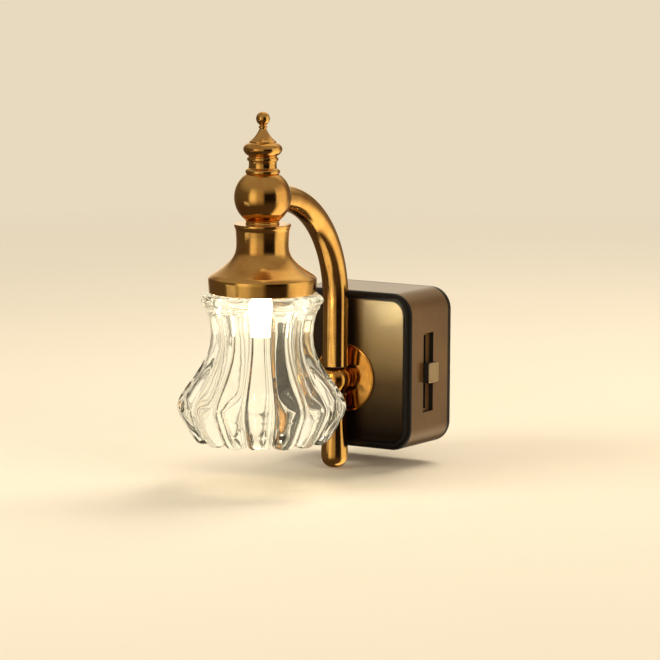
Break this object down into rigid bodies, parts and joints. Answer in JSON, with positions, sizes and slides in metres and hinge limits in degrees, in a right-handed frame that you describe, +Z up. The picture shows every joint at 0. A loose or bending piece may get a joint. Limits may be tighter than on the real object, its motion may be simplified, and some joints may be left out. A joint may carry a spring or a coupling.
{
  "type": "plug-in night light",
  "caption": "Plug-in night light: square outlet housing with a side brightness slider, and a swinging crook arm with a turned finial, bell cap and fluted clear shade.",
  "frame": {"origin": "centre of the housing's back face, which meets the outlet plate", "axes": "+X to the right as one faces the wall, +Y into the wall along the plug blades, +Z up"},
  "size_m": [0.059, 0.132, 0.132],
  "materials": {
    "antique_gold": "satin polished",
    "bronze_housing": "dark bronze lacquer",
    "dark_panel": "high gloss",
    "dark_cover": "fine grain",
    "blade_brass": "bright",
    "steel": "plated",
    "circuit_board": "satin",
    "capacitor_sleeve": "shrunk sleeve",
    "ferrite": "sintered",
    "copper_winding": "enamelled wire",
    "chip_black": "moulded",
    "resistor_body": "lacquered",
    "spring_bronze": "bright",
    "black_plastic": "moulded",
    "nylon": "moulded",
    "lead_jacket": "soft jacket",
    "white_plastic": "moulded",
    "lamp_board": "white solder mask",
    "led": "warm white lamp chip",
    "spreader_aluminium": "milled",
    "frosted_rod": "frosted, lit from its top",
    "clear_shade": "clear, moulded flutes",
    "gasket_rubber": "translucent"
  },
  "bodies": {
    "housing": {"housing_shell": "bronze_housing", "front_panel": "dark_panel", "rear_cover": "dark_cover", "cover_screws": "steel", "plug_blade_left": "blade_brass", "plug_blade_right": "blade_brass", "blade_holder": "dark_cover", "driver_board": "circuit_board", "board_screws": "steel", "filter_capacitor": "capacitor_sleeve", "choke_core": "ferrite", "choke_winding": "copper_winding", "bridge_rectifier": "chip_black", "driver_chip": "chip_black", "fuse_resistor": "resistor_body", "dimmer_case": "steel", "dimmer_track": "circuit_board", "dimmer_pins": "steel", "rosette": "antique_gold", "mount_nipple": "blade_brass", "mount_washer": "steel", "mount_nut": "steel", "ball_boss": "antique_gold", "board_lead": "lead_jacket"},
    "slider": {"slide_carriage": "black_plastic", "wiper_contact": "spring_bronze", "slider_knob": "bronze_housing"},
    "arm": {"swivel_spindle": "blade_brass", "swivel_washers": "nylon", "arm_tube": "antique_gold", "tail_drop": "antique_gold", "arm_lead": "lead_jacket", "lamp_ball": "antique_gold", "neck_ring": "antique_gold", "finial": "antique_gold", "bell_cap": "antique_gold", "cap_nipple": "blade_brass", "cap_nut": "steel", "light_plate": "white_plastic", "led_board": "lamp_board", "led_chip": "led", "heat_spreader": "spreader_aluminium", "light_rod": "frosted_rod", "lamp_screws": "steel", "fluted_shade": "clear_shade", "shade_gasket": "gasket_rubber"}
  },
  "joints": [
    {"name": "arm_swing", "type": "hinge", "parent": "housing", "child": "arm", "pos_m": [0, -0.0374, -0.0032], "axis": [0, 0, 1], "range_deg": [-55, 55]},
    {"name": "brightness_slide", "type": "slide", "parent": "housing", "child": "slider", "axis": [0, 0, 1], "range_m": [-0.01, 0.01]}
  ]
}
